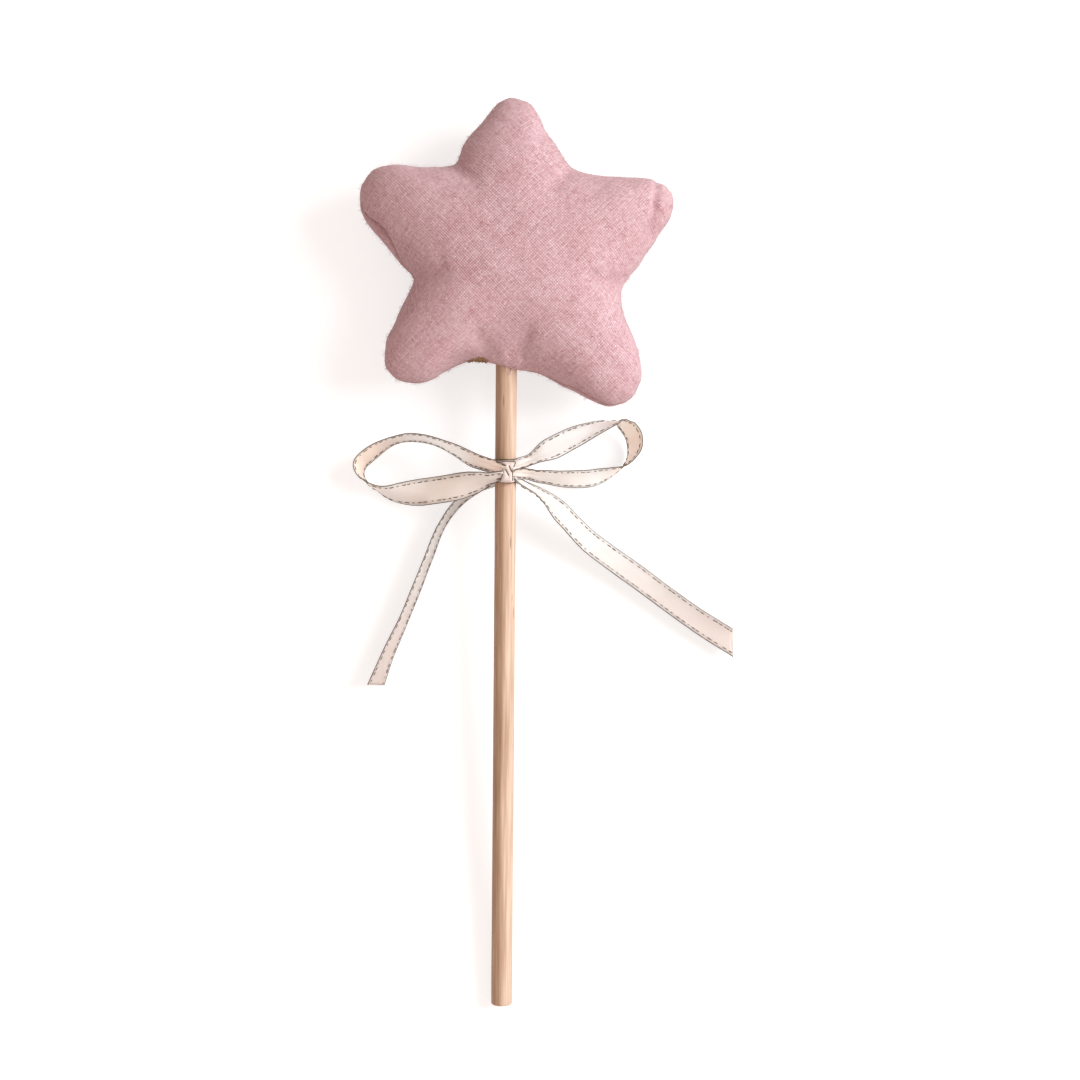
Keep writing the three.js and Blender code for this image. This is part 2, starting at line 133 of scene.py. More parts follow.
RIGHT_TAIL = [
    (5.8, -87.4, 19.6, 0.03, -0.58, 0.81),
    (12.6, -91.2, 16.6, 0.03, -0.58, 0.81),
    (21.1, -98.7, 12.2, -0.35, -0.69, 0.63),
    (31.2, -108.9, 7.6, -0.41, -0.72, 0.56),
    (40.1, -115.6, 5.0, -0.48, -0.69, 0.54),
    (51.4, -123.5, 3.6, -0.5, -0.7, 0.52),
    (61.8, -131.1, 3.1, -0.5, -0.7, 0.52),
    (74.1, -139.7, 3.1, -0.46, -0.74, 0.5),
    (88.0, -148.3, 3.1, -0.46, -0.78, 0.44),
]

scene = bpy.context.scene


# Helpers for meshes
def mesh_object(name, points, faces, materials, smooth=True):
    """A piece from points in millimetres."""
    mesh = bpy.data.meshes.new(name)
    mesh.from_pydata((np.asarray(points, float) * MM).tolist(), [], faces)
    mesh.polygons.foreach_set("use_smooth", [smooth] * len(mesh.polygons))
    for material in materials:
        mesh.materials.append(material)
    mesh.update()
    piece = bpy.data.objects.new(name, mesh)
    scene.collection.objects.link(piece)
    return piece


def ring_faces(rows, sides):
    """Quads between rings of points that each have the same number of sides."""
    faces = []
    for i in range(rows - 1):
        for j in range(sides):
            k = (j + 1) % sides
            a = i * sides
            faces.append((a + j, a + k, a + sides + k, a + sides + j))
    return faces


def capped(faces, rows, sides):
    """The same faces with an end face at the first and the last ring."""
    first = tuple(reversed(range(sides)))
    last = tuple((rows - 1) * sides + j for j in range(sides))
    return faces + [first, last]


def read(items, name, width=1, kind=float):
    """One property of all the items, in rows where it has more than one number."""
    values = np.empty(width * len(items), kind)
    items.foreach_get(name, values)
    return values.reshape(-1, width) if width > 1 else values


def coordinates(mesh):
    return read(mesh.vertices, "co", 3) / MM


def set_coordinates(mesh, points):
    mesh.vertices.foreach_set("co", (np.asarray(points) * MM).ravel())
    mesh.update()


def normals(mesh):
    return read(mesh.vertices, "normal", 3)


def smoothstep(value, low, high):
    t = np.clip((value - low) / (high - low), 0, 1)
    return t * t * (3 - 2 * t)


def unit(vectors):
    return vectors / np.linalg.norm(vectors, axis=-1, keepdims=True)


def distances(line):
    """How far along a line each of its points is."""
    return np.concatenate([[0], np.cumsum(np.linalg.norm(np.diff(line, axis=0), axis=1))])


def bake_modifiers(piece):
    """Turns the piece's modifiers into its own mesh."""
    graph = bpy.context.evaluated_depsgraph_get()
    shaped = bpy.data.meshes.new_from_object(piece.evaluated_get(graph))
    piece.modifiers.clear()
    piece.data = shaped


def noise_at(points, size, seed=0.0):
    return np.array([noise(Vector(p / size) + Vector((seed, seed, seed))) for p in points])


def tube(line, radius, sides=6):
    """Points and capped faces of a thin tube along a line."""
    line = np.asarray(line, float)
    along = unit(np.gradient(line, axis=0))
    side = np.cross(along, (0.0, 0.0, 1.0))
    side[np.linalg.norm(side, axis=1) < 1e-6] = (1.0, 0.0, 0.0)
    side = unit(side)
    face = np.cross(side, along)
    angles = 2 * np.pi * np.arange(sides) / sides
    rings = (
        line[:, None]
        + radius * np.cos(angles)[None, :, None] * side[:, None]
        + radius * np.sin(angles)[None, :, None] * face[:, None]
    )
    faces = capped(ring_faces(len(line), sides), len(line), sides)
    return rings.reshape(-1, 3), faces


def joined(parts):
    """Several (points, faces) as one."""
    points = []
    faces = []
    count = 0
    for part_points, part_faces in parts:
        points.append(part_points)
        faces.extend(tuple(count + k for k in face) for face in part_faces)
        count += len(part_points)
    return np.concatenate(points), faces


# Helpers for materials
def set_inputs(tree, node, inputs):
    """Gives a node's inputs values or other nodes' outputs."""
    for name, value in inputs.items():
        if isinstance(value, bpy.types.NodeSocket):
            tree.links.new(value, node.inputs[name])
        else:
            node.inputs[name].default_value = value


def new_material(name, colour, roughness, metallic=0.0):
    material = bpy.data.materials.new(name)
    material.use_nodes = True
    tree = material.node_tree
    surface = tree.nodes["Principled BSDF"]
    set_inputs(tree, surface, {"Base Color": (*colour, 1), "Roughness": roughness, "Metallic": metallic})
    return material, tree, surface


def dress(piece, material):
    piece.data.materials.clear()
    piece.data.materials.append(material)


def add(tree, kind, inputs=None, **settings):
    node = tree.nodes.new(kind)
    for name, value in settings.items():
        setattr(node, name, value)
    set_inputs(tree, node, inputs or {})
    return node


def maths(tree, operation, first, second=0.0):
    return add(tree, "ShaderNodeMath", {0: first, 1: second}, operation=operation).outputs[0]


def weighted(tree, first, share, second, other):
    """The sum of two values, each times its share."""
    scaled = maths(tree, "MULTIPLY", first, share)
    return maths(tree, "ADD", scaled, maths(tree, "MULTIPLY", second, other))


def ramp(tree, value, stops):
    node = add(tree, "ShaderNodeValToRGB", {"Fac": value})
    elements = node.color_ramp.elements
    while len(elements) < len(stops):
        elements.new(0.5)
    for element, (place, colour) in zip(elements, stops):
        element.position = place
        element.color = (*colour, 1)
    return node.outputs["Color"]


def mix_colours(tree, share, first, second, blend="MIX"):
    inputs = {0: share, 6: first, 7: second}
    return add(tree, "ShaderNodeMix", inputs, data_type="RGBA", blend_type=blend).outputs[2]


EVEN = (1.0, 1.0, 1.0)


def grain(tree, place, scale, size, detail=2.0):
    """Noise with features of a size in millimetres, which a small scale stretches along its axis."""
    stretched = add(tree, "ShaderNodeMapping", {"Vector": place, "Scale": scale}).outputs[0]
    settings = {"Vector": stretched, "Scale": 1 / (size * MM), "Detail": detail}
    return add(tree, "ShaderNodeTexNoise", settings).outputs["Fac"]


def bump(tree, surface, height, strength, distance):
    settings = {"Height": height, "Strength": strength, "Distance": distance * MM}
    node = add(tree, "ShaderNodeBump", settings)
    tree.links.new(node.outputs["Normal"], surface.inputs["Normal"])


def object_place(tree):
    return add(tree, "ShaderNodeTexCoord").outputs["Object"]


def grey(value):
    return (value, value, value)


# Pink woven fabric: threads on the bias, each with its own tone, with painted highlight on each thread's
# crown and painted shade between threads
THREAD_PITCH = 0.8
THREAD_DRIFT = 1.6
SLUB_SIZE = 0.75


def fabric_material():
    material, tree, surface = new_material("pink_fabric", (0.66, 0.42, 0.42), 0.92)
    flat = add(tree, "ShaderNodeUVMap", uv_map="weave").outputs[0]
    wander = add(tree, "ShaderNodeTexNoise", {"Vector": flat, "Scale": 90.0, "Detail": 2.0})
    shifted = add(
        tree,
        "ShaderNodeVectorMath",
        {0: wander.outputs["Color"], 1: (0.5, 0.5, 0.5)},
        operation="SUBTRACT",
    )
    drifted = {0: shifted.outputs[0], "Scale": THREAD_DRIFT * MM}
    drift = add(tree, "ShaderNodeVectorMath", drifted, operation="SCALE")
    wavy = add(tree, "ShaderNodeVectorMath", {0: flat, 1: drift.outputs[0]}, operation="ADD").outputs[0]
    axes = add(tree, "ShaderNodeSeparateXYZ", {0: wavy})

    def thread(axis, stretch):
        """The number of the thread at each place, its rounded height and its tone."""
        count = maths(tree, "MULTIPLY", axes.outputs[axis], 1 / (THREAD_PITCH * MM))
        number = maths(tree, "FLOOR", count)
        wave = maths(tree, "ABSOLUTE", maths(tree, "SINE", maths(tree, "MULTIPLY", count, math.pi)))
        own = add(tree, "ShaderNodeTexWhiteNoise", {"W": number}, noise_dimensions="1D").outputs["Value"]
        slub = grain(tree, wavy, stretch, SLUB_SIZE)
        return number, wave, maths(tree, "ADD", maths(tree, "MULTIPLY", own, 0.16), slub)

    column, warp_wave, warp = thread("X", (1.0, 0.3, 1.0))
    row, weft_wave, weft = thread("Y", (0.3, 1.0, 1.0))
    over = maths(tree, "PINGPONG", maths(tree, "ADD", column, row), 1.0)
    on_top = add(tree, "ShaderNodeMix", {0: over, 2: weft, 3: warp}).outputs[0]
    # Painted highlight and shade: each thread lighter on its rounded crown and darker at its edges, where
    # it meets the next
    crown_painted_light = add(tree, "ShaderNodeMix", {0: over, 2: weft_wave, 3: warp_wave}).outputs[0]
    height = maths(tree, "MULTIPLY", maths(tree, "ADD", warp_wave, weft_wave), 0.5)
    tone = weighted(tree, on_top, 0.62, crown_painted_light, 0.22)
    threads = ramp(
        tree,
        tone,
        [
            (0.26, (0.40, 0.185, 0.195)),
            (0.44, (0.60, 0.375, 0.415)),
            (0.60, (0.715, 0.52, 0.57)),
            (0.80, (0.86, 0.73, 0.77)),
        ],
    )
    patches = grain(tree, flat, EVEN, 14.0, detail=3.0)
    patchy = ramp(tree, patches, [(0.35, (0.93, 0.88, 0.88)), (0.65, grey(1.0))])
    mottled = mix_colours(tree, 1.0, threads, patchy, "MULTIPLY")
    # Painted shade in the seam groove: the per-point amount from shape_cover darkens the fabric towards
    # deep red-brown
    seam = add(tree, "ShaderNodeAttribute", attribute_name="seam").outputs["Fac"]
    coloured = mix_colours(tree, seam, mottled, (0.27, 0.12, 0.11, 1))
    looks = {
        "Base Color": coloured,
        "Sheen Weight": 0.35,
        "Sheen Roughness": 0.45,
        "Sheen Tint": (1.0, 0.86, 0.86, 1),
        "Specular IOR Level": 0.2,
    }
    set_inputs(tree, surface, looks)
    nap = grain(tree, flat, EVEN, 0.5)
    relief = maths(tree, "ADD", height, maths(tree, "MULTIPLY", nap, 0.5))
    bump(tree, surface, relief, 0.55, 0.25)
    return material


# Beech: pale wood with fine lengthwise grain, short dark flecks and painted shade darkening its left side
def wood_material(end_grain):
    name = "beech_end" if end_grain else "beech_wood"
    material, tree, surface = new_material(name, (0.80, 0.60, 0.44), 0.5)
    place = object_place(tree)
    stretch = EVEN if end_grain else (1.0, 0.035, 1.0)
    streaks = grain(tree, place, stretch, 0.9, detail=4.0)
    broad = grain(tree, place, (1.0, 0.05, 1.0), 4.0)
    tone = weighted(tree, streaks, 0.6, broad, 0.4)
    dark, pale = (0.46, 0.285, 0.19), (0.82, 0.625, 0.49)
    if end_grain:
        dark, pale = (0.38, 0.22, 0.14), (0.60, 0.40, 0.28)
    wood = ramp(tree, tone, [(0.32, dark), (0.68, pale)])
    # Painted shade: the wood is made darker towards its left side, as the light falls from the right
    wander = maths(tree, "MULTIPLY", maths(tree, "SUBTRACT", broad, 0.5), 3 * MM)
    across = maths(tree, "ADD", add(tree, "ShaderNodeSeparateXYZ", {0: place}).outputs["X"], wander)
    share = maths(tree, "ADD", maths(tree, "MULTIPLY", across, 0.5 / (DOWEL_RADIUS * MM)), 0.5)
    dowel_left_painted_shade = ramp(tree, share, [(0.04, (0.78, 0.70, 0.63)), (0.38, (0.86, 0.83, 0.76)), (0.52, grey(1.0))])
    wood = mix_colours(tree, 1.0, wood, dowel_left_painted_shade, "MULTIPLY")
    stretched = add(tree, "ShaderNodeMapping", {"Vector": place, "Scale": (1.0, 0.1, 1.0)}).outputs[0]
    cells = add(tree, "ShaderNodeTexVoronoi", {"Vector": stretched, "Scale": 1 / (2.6 * MM)}).outputs
    fleck = ramp(tree, cells["Distance"], [(0.05, grey(1.0)), (0.12, grey(0.0))])
    rare = ramp(tree, cells["Color"], [(0.3, grey(0.0)), (0.4, grey(1.0))])
    marks = mix_colours(tree, 1.0, fleck, rare, "MULTIPLY")
    flecked = mix_colours(tree, maths(tree, "MULTIPLY", marks, 0.75), wood, (0.20, 0.11, 0.065, 1))
    gloss = ramp(tree, streaks, [(0.3, grey(0.58)), (0.7, grey(0.42))])
    set_inputs(tree, surface, {"Base Color": flecked, "Roughness": gloss, "Specular IOR Level": 0.35})
    bump(tree, surface, streaks, 0.25, 0.12)
    return material


# Satin ribbon: fine cross threads, a soft sheen, and painted shade in a peach tone that comes and goes
# along its length
def satin_material(name, pale, deep, painted_shade_colour):
    material, tree, surface = new_material(name, pale, 0.5)
    flat = add(tree, "ShaderNodeUVMap", uv_map="weave").outputs[0]
    threads = grain(tree, flat, (1.0, 0.06, 1.0), 0.16)
    bands = grain(tree, flat, (0.25, 1.0, 1.0), 5.0)
    tone = weighted(tree, threads, 0.45, bands, 0.55)
    plain = ramp(tree, tone, [(0.34, deep), (0.62, pale)])
    # Painted shade: a per-point amount that mixes the satin towards its peach shade colour
    painted_shade = add(tree, "ShaderNodeAttribute", attribute_name="painted_shade").outputs["Fac"]
    surface.subsurface_method = "BURLEY"
    looks = {
        "Base Color": mix_colours(tree, painted_shade, plain, (*painted_shade_colour, 1)),
        "Roughness": ramp(tree, threads, [(0.3, grey(0.58)), (0.7, grey(0.4))]),
        "Sheen Weight": 0.25,
        "Sheen Roughness": 0.35,
        "Specular IOR Level": 0.45,
        "Subsurface Weight": 0.8,
        "Subsurface Radius": (1.0, 0.95, 0.92),
        "Subsurface Scale": 2.5 * MM,
    }
    set_inputs(tree, surface, looks)
    bump(tree, surface, threads, 0.3, 0.06)
    return material


# Threads and yarns: twisted strands that show as slanted bands
def yarn_material(name, pale, deep, roughness, metallic=0.0):
    material, tree, surface = new_material(name, pale, roughness, metallic)
    place = object_place(tree)
    twist = add(
        tree,
        "ShaderNodeTexWave",
        {"Vector": place, "Scale": 700.0, "Distortion": 3.0, "Detail": 2.0, "Detail Scale": 2.0},
        bands_direction="DIAGONAL",
    ).outputs["Fac"]
    set_inputs(tree, surface, {"Base Color": ramp(tree, twist, [(0.1, deep), (0.8, pale)])})
    bump(tree, surface, twist, 0.5, 0.08)
    return material


# Fibre fill: matted white fibres
def fibre_material():
    material, tree, surface = new_material("fibre_fill", (0.90, 0.88, 0.84), 1.0)
    place = object_place(tree)
    fibres = add(
        tree,
        "ShaderNodeTexNoise",
        {"Vector": place, "Scale": 260.0, "Detail": 8.0, "Roughness": 0.7, "Distortion": 2.5},
    ).outputs["Fac"]
    coloured = ramp(tree, fibres, [(0.3, (0.68, 0.66, 0.62)), (0.6, (0.93, 0.92, 0.89))])
    set_inputs(tree, surface, {"Base Color": coloured, "Sheen Weight": 0.4})
    bump(tree, surface, fibres, 0.8, 1.2)
    return material


# Moulded or poured pieces: a base tone with faint clouds and a fine surface
def moulded_material(name, pale, deep, roughness, metallic=0.0, cloud=4.0, relief=0.02):
    material, tree, surface = new_material(name, pale, roughness, metallic)
    place = object_place(tree)
    clouds = grain(tree, place, EVEN, cloud, detail=3.0)
    speckle = grain(tree, place, EVEN, 0.25)
    cloudy = ramp(tree, clouds, [(0.35, deep), (0.65, pale)])
    rough = ramp(tree, speckle, [(0.3, grey(roughness * 0.8)), (0.7, grey(min(1.0, roughness * 1.25)))])
    set_inputs(tree, surface, {"Base Color": cloudy, "Roughness": rough})
    bump(tree, surface, speckle, 0.4, relief)
    return material


fabric = fabric_material()
beech = wood_material(False)
beech_end = wood_material(True)
satin_loop = satin_material("satin_loop", (0.86, 0.88, 0.885), (0.79, 0.80, 0.795), (0.83, 0.70, 0.61))
# The tails take a darker copy of the same satin as the loops: painted shade
satin_tail_shaded = satin_material("satin_tail_shaded", (0.69, 0.695, 0.69), (0.62, 0.615, 0.605), (0.53, 0.44, 0.405))
satin_knot = satin_material("satin_knot", (0.88, 0.80, 0.78), (0.80, 0.66, 0.62), (0.80, 0.62, 0.56))
gold_yarn = yarn_material("gold_yarn", (0.24, 0.17, 0.085), (0.045, 0.034, 0.022), 0.45, 0.3)
selvage_yarn = yarn_material("selvage_yarn", (0.26, 0.22, 0.19), (0.12, 0.10, 0.085), 0.6, 0.2)
pink_thread = yarn_material("pink_thread", (0.58, 0.34, 0.33), (0.38, 0.19, 0.19), 0.8)
# Dark tan thread of the closing stitches: painted shadow in the gap beside the dowel
tan_thread = yarn_material("tan_thread", (0.50, 0.29, 0.13), (0.22, 0.11, 0.05), 0.8)
fuzz_fibre = new_material("fuzz_fibre", (0.69, 0.49, 0.52), 0.95)[0]
fibre = fibre_material()
glue = moulded_material("dried_glue", (0.80, 0.70, 0.45), (0.70, 0.58, 0.33), 0.3, relief=0.08)
plastic = moulded_material("capsule_plastic", (0.88, 0.88, 0.85), (0.82, 0.82, 0.79), 0.4)
steel = moulded_material("pellet_steel", (0.60, 0.61, 0.63), (0.48, 0.49, 0.51), 0.28, 1.0, cloud=1.5)


# Curve through points as in the CAD model: centripetal spans, evenly many samples in each
SAMPLES_PER_SPAN = 10
SHORTEST_SPAN = 1e-4


def curve(points):
    points = np.asarray(points, float)
    padded = np.concatenate([[2 * points[0] - points[1]], points, [2 * points[-1] - points[-2]]])
    samples = []
    w = (np.arange(SAMPLES_PER_SPAN) / SAMPLES_PER_SPAN)[:, None]
    for i in range(len(points) - 1):
        p0, p1, p2, p3 = padded[i:i + 4]
        d0, d1, d2 = (np.linalg.norm(b - a) ** 0.5 for a, b in ((p0, p1), (p1, p2), (p2, p3)))
        d1 = d1 if d1 > SHORTEST_SPAN else 1.0
        d0 = d0 if d0 > SHORTEST_SPAN else d1
        d2 = d2 if d2 > SHORTEST_SPAN else d1
        m1 = ((p1 - p0) / d0 - (p2 - p0) / (d0 + d1) + (p2 - p1) / d1) * d1
        m2 = ((p2 - p1) / d1 - (p3 - p1) / (d1 + d2) + (p3 - p2) / d2) * d1
        samples.append(
            p1 + m1 * w + (3 * (p2 - p1) - 2 * m1 - m2) * w**2 + (2 * (p1 - p2) + m1 + m2) * w**3
        )
    return np.concatenate([*samples, points[-1:]])


# Ribbon strip along a route: its middle line, the half width across it and the way its face looks.
# A root is the point inside the knot that a gathered end comes from.
def ribbon_frame(route, roots, gathered_share):
    rows = [(*roots[0], *route[0][3:]), *route]
    if len(roots) == 2:
        rows.append((*roots[1], *route[-1][3:]))
    rows = np.asarray(rows, float)
    middle = curve(rows[:, :3])
    across = curve(rows[:, 3:])
    along = unit(np.gradient(middle, axis=0))
    across = unit(across - (across * along).sum(1, keepdims=True) * along)
    out = np.arange(len(middle)) / SAMPLES_PER_SPAN - 1
    if len(roots) == 2:
        out = np.minimum(out, len(rows) - 3 - out)
    share = gathered_share + (1 - gathered_share) * smoothstep(out, 0, GATHER_ROWS)
    share = share * (1 + 0.25 * np.minimum(out, 0))
    half = across * (RIBBON_WIDTH / 2 * share)[:, None]
    return middle, along, half, np.cross(along, across), distances(middle), share


SATIN_THICKNESS = 0.3
SATIN_COLUMNS = 13
CUT_REACH = 8
YARN_RADIUS = 0.2
YARN_PLACE = 0.78
DASH_LENGTH = 2.6
DASH_STEP = 0.35
PATH_POINTS = 36


def ribbon(name, route, roots, gathered_share, satin, painted_shade, cut):
    """A ribbon piece, its edge yarns, its path and its length. cut is how far askew its end is cut."""
    middle, along, half, face, run, share = ribbon_frame(route, roots, gathered_share)
    s = np.linspace(-1, 1, SATIN_COLUMNS)
    near_cut = smoothstep(run, run[-1] - CUT_REACH, run[-1]) * cut
    pleat = np.clip((1 - share) / 0.5, 0, 1)
    wave = 0.25 * np.sin(run / 7.0) + 0.15 * np.sin(run / 3.1 + 1.0)

    def at(rows, s, lift):
        cup = 0.35 * (1 - s**2) - 0.2 + 0.4 * pleat[rows] * np.cos(2.5 * np.pi * s)
        cup = cup + wave[rows] * 0.35 * s
        return (
            middle[rows]
            + half[rows] * s[:, None]
            + face[rows] * (cup + lift)[:, None]
            + along[rows] * (near_cut[rows] * s)[:, None]
        )

    count = len(middle)
    rows = np.repeat(np.arange(count), SATIN_COLUMNS)
    columns = np.tile(s, count)
    top = at(rows, columns, SATIN_THICKNESS / 2).reshape(count, SATIN_COLUMNS, 3)
    bottom = at(rows, columns, -SATIN_THICKNESS / 2).reshape(count, SATIN_COLUMNS, 3)
    rings = np.concatenate([top, bottom[:, ::-1]], axis=1)
    sides = 2 * SATIN_COLUMNS
    faces = capped(ring_faces(count, sides), count, sides)
    piece = mesh_object(name + "_strip", rings.reshape(-1, 3), faces, [satin])
    # Painted shade: each point's amount of the peach shade colour, from the ribbon's table
    painted_shade_layer = piece.data.attributes.new("painted_shade", "FLOAT", "POINT")
    painted_shade_layer.data.foreach_set("value", np.repeat(np.interp(run / run[-1], *zip(*painted_shade)), sides))
    flat = np.empty((count, sides, 2))
    flat[..., 0] = run[:, None]
    flat[..., 1] = np.concatenate([s, s[::-1]])[None] * RIBBON_WIDTH / 2
    write_uv(piece.data, flat.reshape(-1, 2))

    everywhere = np.arange(count)
    edges = [tube(at(everywhere, np.full(count, edge), 0.0), YARN_RADIUS) for edge in (-1.0, 1.0)]
    selvage = mesh_object(name + "_selvage", *joined(edges), [selvage_yarn])

    fine = np.arange(run[0], run[-1] - 0.3, DASH_STEP)
    rows_at = np.interp(fine, run, everywhere)
    low = np.floor(rows_at).astype(int)
    high = np.minimum(low + 1, count - 1)
    part = (rows_at - low)[:, None]
    yarns = []
    for edge in (-YARN_PLACE, YARN_PLACE):
        turns = fine / DASH_LENGTH + 0.25 * np.sin(fine / 5.3 + 2 * edge) + 0.12 * np.sin(fine / 2.1)
        uneven = np.sin(2 * np.pi * turns) + 0.7 * np.sin(2 * np.pi * 0.37 * turns + 3 * edge)
        over = np.clip(2.5 * uneven, -1, 1)
        lift = over * (SATIN_THICKNESS / 2 + 0.1)
        column = np.full(len(fine), edge)
        line = at(low, column, lift) * (1 - part) + at(high, column, lift) * part
        yarns.append(tube(line, YARN_RADIUS, sides=5))
    gold = mesh_object(name + "_gold_yarn", *joined(yarns), [gold_yarn])
    for made in (piece, selvage, gold):
        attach(made, "wand")
    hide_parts(name)
    path = np.concatenate([middle[: -1 : max(1, count // PATH_POINTS)], middle[-1:]])
    return piece, [selvage, gold], path, run[-1]


def write_uv(mesh, flat):
    """Flat coordinates in millimetres as the map that the weave reads."""
    layer = mesh.uv_layers.new(name="weave")
    corners = read(mesh.loops, "vertex_index", kind=int)
    layer.data.foreach_set("uv", (np.asarray(flat)[corners] * MM).ravel())


# Camera: straight above, where the photograph was taken from
camera_data = bpy.data.cameras.new("camera")
camera_data.sensor_width = 36.0
camera_data.lens = 68.87
camera = bpy.data.objects.new("camera", camera_data)
camera.location = (0.01324, -0.1092, 0.800)
camera.rotation_euler = (0, 0, 0.00889)
scene.collection.objects.link(camera)
scene.camera = camera

# Bow: two loops that go back into the knot, and two cut tails
left_roots = [(0.2, -83.2, 25.7), (0.0, -85.0, 24.9)]
right_roots = [(2.2, -82.2, 25.4), (2.4, -84.2, 24.4)]
left_tail_root = [(-4.4, -85.4, 17.6)]
right_tail_root = [(3.2, -85.4, 21.6)]
# Painted shade along each ribbon, in a peach tone: shares of its length with amounts
left_loop_painted_shade = [
    (0, 0.9), (0.08, 0.5), (0.14, 0), (0.32, 0), (0.42, 0.8),
    (0.52, 1), (0.62, 0.1), (0.8, 0.5), (0.95, 0.2),
]
right_loop_painted_shade = [
    (0, 0.3), (0.1, 0), (0.3, 0), (0.42, 0.5), (0.5, 1),
    (0.6, 0.7), (0.68, 0), (0.85, 0.3), (1, 0.4),
]
tail_painted_shade = [(0, 0.2), (0.4, 0.1), (0.7, 0.6), (1, 0.8)]
for name, route, roots, share, satin, painted_shade, far_end, cut in (
    ("bow_loop_left", LEFT_LOOP, left_roots, GATHERED_SHARE, satin_loop, left_loop_painted_shade, "object", 0.0),
    ("bow_loop_right", RIGHT_LOOP, right_roots, GATHERED_SHARE, satin_loop, right_loop_painted_shade, "object", 0.0),
    ("ribbon_tail_left", LEFT_TAIL, left_tail_root, GATHERED_SHARE, satin_tail_shaded, tail_painted_shade, "bare", 0.6),
    ("ribbon_tail_right", RIGHT_TAIL, right_tail_root, PINCHED_SHARE, satin_tail_shaded, tail_painted_shade, "bare", 2.6),
):
    strip, trims, path, length = ribbon(name, route, roots, share, satin, painted_shade, cut)


# Dowel frame: x and z across the dowel, y along it from the neck
dowel_place = Matrix.Translation((0, NECK_Y * MM, STAR_LEVEL * MM)) @ Matrix.Rotation(LEAN, 4, "X")
dowel_turn = np.array(dowel_place.to_3x3())
dowel_base = np.array(dowel_place.translation) / MM


def on_dowel(points):
    """Points of the dowel frame, in millimetres, in the model's frame."""
    return np.asarray(points, float) @ dowel_turn.T + dowel_base


def to_dowel(points):
    return (np.asarray(points, float) - dowel_base) @ dowel_turn


# Dowel: turned rod with softly rounded ends, whose first and last strips of faces show end grain
DOWEL_SIDES = 40
END_ROUND = 0.7
END_STRIPS = 3


def dowel():
    near = [(0.02, 0.05 - DOWEL_BELOW), (1.6, 0.03 - DOWEL_BELOW)]
    for a in np.linspace(0, math.pi / 2, 6):
        radius = DOWEL_RADIUS - END_ROUND + END_ROUND * math.sin(a)
        near.append((radius, END_ROUND * (1 - math.cos(a)) - DOWEL_BELOW))
    shaft = [(DOWEL_RADIUS, y) for y in np.linspace(2 - DOWEL_BELOW, DOWEL_INSERTION - 2, 70)]
    far = [(radius, DOWEL_INSERTION - DOWEL_BELOW - y) for radius, y in reversed(near)]
    profile = np.array([*near, *shaft, *far])
    angles = 2 * np.pi * np.arange(DOWEL_SIDES) / DOWEL_SIDES
    rings = np.empty((len(profile), DOWEL_SIDES, 3))
    rings[..., 0] = profile[:, :1] * np.cos(angles)
    rings[..., 1] = profile[:, 1:]
    rings[..., 2] = -profile[:, :1] * np.sin(angles)
    points = rings.reshape(-1, 3)
    uneven = noise_at(points * (0.25, 0.05, 0.25), 1.0)
    points[:, [0, 2]] *= (1 + 0.008 * uneven)[:, None]
    faces = capped(ring_faces(len(profile), DOWEL_SIDES), len(profile), DOWEL_SIDES)
    piece = mesh_object("dowel_turned", points, faces, [beech, beech_end])
    end = END_STRIPS * DOWEL_SIDES
    shown = [1] * end + [0] * (len(faces) - 2 * end - 2) + [1] * (end + 2)
    piece.data.polygons.foreach_set("material_index", shown)
    piece.matrix_world = dowel_place
    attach(piece, "wand")
    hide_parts("dowel")


dowel()


# Ribbon round the dowel, with the faint creases of a tight wrap, and its gold edges
def ribbon_wrap():
    rows = 15
    sides = 56
    v = np.linspace(-1, 1, rows)
    angles = 2 * np.pi * np.arange(sides) / sides
    inner = DOWEL_RADIUS + 0.08
    outside = np.empty((rows, sides, 3))
    radius = inner + 0.35 + 0.45 * (1 - np.abs(v[:, None]) ** 6)
    radius = radius + 0.1 * np.cos(3 * angles[None] + 5 * v[:, None]) * np.cos(7 * v[:, None] + 1)
    outside[..., 0] = radius * np.sin(angles)
    outside[..., 1] = v[:, None] * WRAP_LENGTH / 2 + 0.25 * np.cos(angles) ** 2
    outside[..., 2] = radius * np.cos(angles)
    inside = outside.copy()
    inside[..., [0, 2]] *= (inner / radius)[..., None]
    rings = np.concatenate([outside, inside[::-1]])
    points = rings.reshape(-1, 3)
    points[:, 1] -= BOW_DISTANCE
    faces = ring_faces(2 * rows, sides)
    last = (2 * rows - 1) * sides
    faces += [(last + j, last + (j + 1) % sides, (j + 1) % sides, j) for j in range(sides)]
    piece = mesh_object("ribbon_wrap_band", on_dowel(points), [f[::-1] for f in faces], [satin_knot])
    flat = np.stack([np.tile(angles * 5, 2 * rows), points[:, 1]], axis=1)
    write_uv(piece.data, flat)
    trims = []
    for row, lift in ((0, 0.12), (rows - 1, 0.12), (2, 0.18), (rows - 3, 0.18)):
        ring = outside[row].copy()
        ring[:, [0, 2]] *= 1 + lift / radius[row][:, None]
        ring[:, 1] -= BOW_DISTANCE
        line = np.concatenate([ring, ring[:2]])
        trims.append(tube(on_dowel(line), 0.24))
    edge = mesh_object("ribbon_wrap_edges", *joined(trims), [gold_yarn])
    for made in (piece, edge):
        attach(made, "wand")
    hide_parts("ribbon_wrap")


ribbon_wrap()


